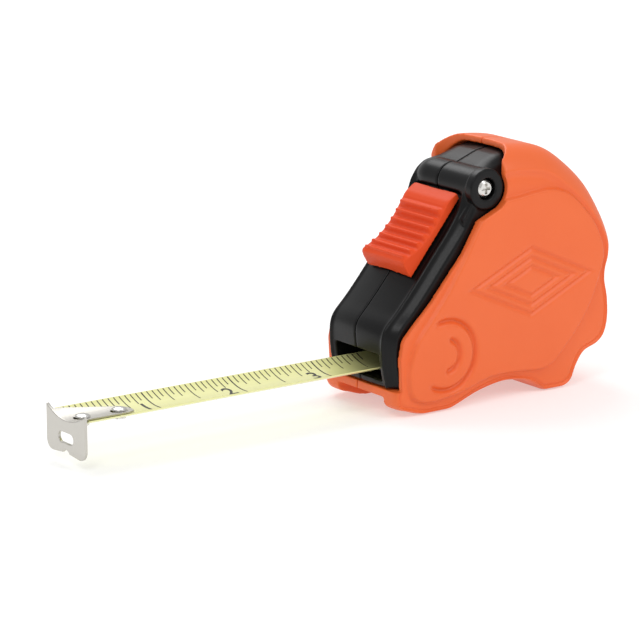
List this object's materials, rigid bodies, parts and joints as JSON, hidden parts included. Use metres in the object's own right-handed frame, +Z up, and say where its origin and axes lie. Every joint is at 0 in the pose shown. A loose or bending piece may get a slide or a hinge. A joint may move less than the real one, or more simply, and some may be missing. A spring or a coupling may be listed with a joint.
{
  "type": "pocket tape measure",
  "caption": "Pocket tape measure: curved steel blade with an end hook on a spring reel, in a black frame and orange shells, with a thumb lock and a belt clip.",
  "frame": {"origin": "On the floor, in the middle of the case's rear foot", "axes": "+X to the back of the case, so the blade comes out towards -X; +Y to the side with the belt clip; +Z up"},
  "size_m": [0.1569, 0.0397, 0.0646],
  "materials": {
    "orange_abs": "fine satin, moulded ABS",
    "button_abs": "satin, moulded ABS",
    "black_abs": "satin, moulded ABS",
    "yellow_blade": "yellow enamel on spring steel, with a clear coat",
    "hook_steel": "satin nickel plate on pressed steel",
    "nickel_steel": "bright nickel plate",
    "spring_steel": "blued spring steel",
    "white_acetal": "natural acetal, moulded",
    "rubber": "matt black rubber"
  },
  "bodies": {
    "case": {"right_shell": "orange_abs", "left_shell": "orange_abs", "right_frame": "black_abs", "left_frame": "black_abs", "shoulder_screw": "nickel_steel", "lower_front_screw": "nickel_steel", "lower_rear_screw": "nickel_steel", "upper_rear_screw": "nickel_steel", "arbor": "nickel_steel", "detent_spring": "spring_steel", "belt_clip": "hook_steel", "belt_clip_screw": "nickel_steel"},
    "reel_drum": {"reel": "white_acetal", "reel_cover": "white_acetal", "power_spring": "spring_steel", "blade_coil": "yellow_blade"},
    "blade_end": {"blade": "yellow_blade", "front_rivet": "nickel_steel", "rear_rivet": "nickel_steel"},
    "end_hook": {"hook": "hook_steel"},
    "thumb_lock": {"lock_button": "button_abs", "brake_pad": "rubber"}
  },
  "joints": [
    {"name": "reel_spin", "type": "hinge", "parent": "case", "child": "reel_drum", "pos_m": [-0.0085, 0, 0.03], "axis": [0, -1, 0], "range_deg": [0, 264]},
    {"name": "blade_slide", "type": "slide", "parent": "case", "child": "blade_end", "axis": [1, 0, 0], "range_m": [0, 0.084], "deforming": ["blade"]},
    {"name": "hook_play", "type": "slide", "parent": "blade_end", "child": "end_hook", "axis": [1, 0, 0], "range_m": [0, 0.0008]},
    {"name": "lock_slide", "type": "slide", "parent": "case", "child": "thumb_lock", "axis": [-0.632, 0, -0.775], "range_m": [0, 0.006]}
  ],
  "couplings": [
    {"joint": "blade_slide", "follows": "reel_spin", "m_per_rad": 0.0182}
  ]
}
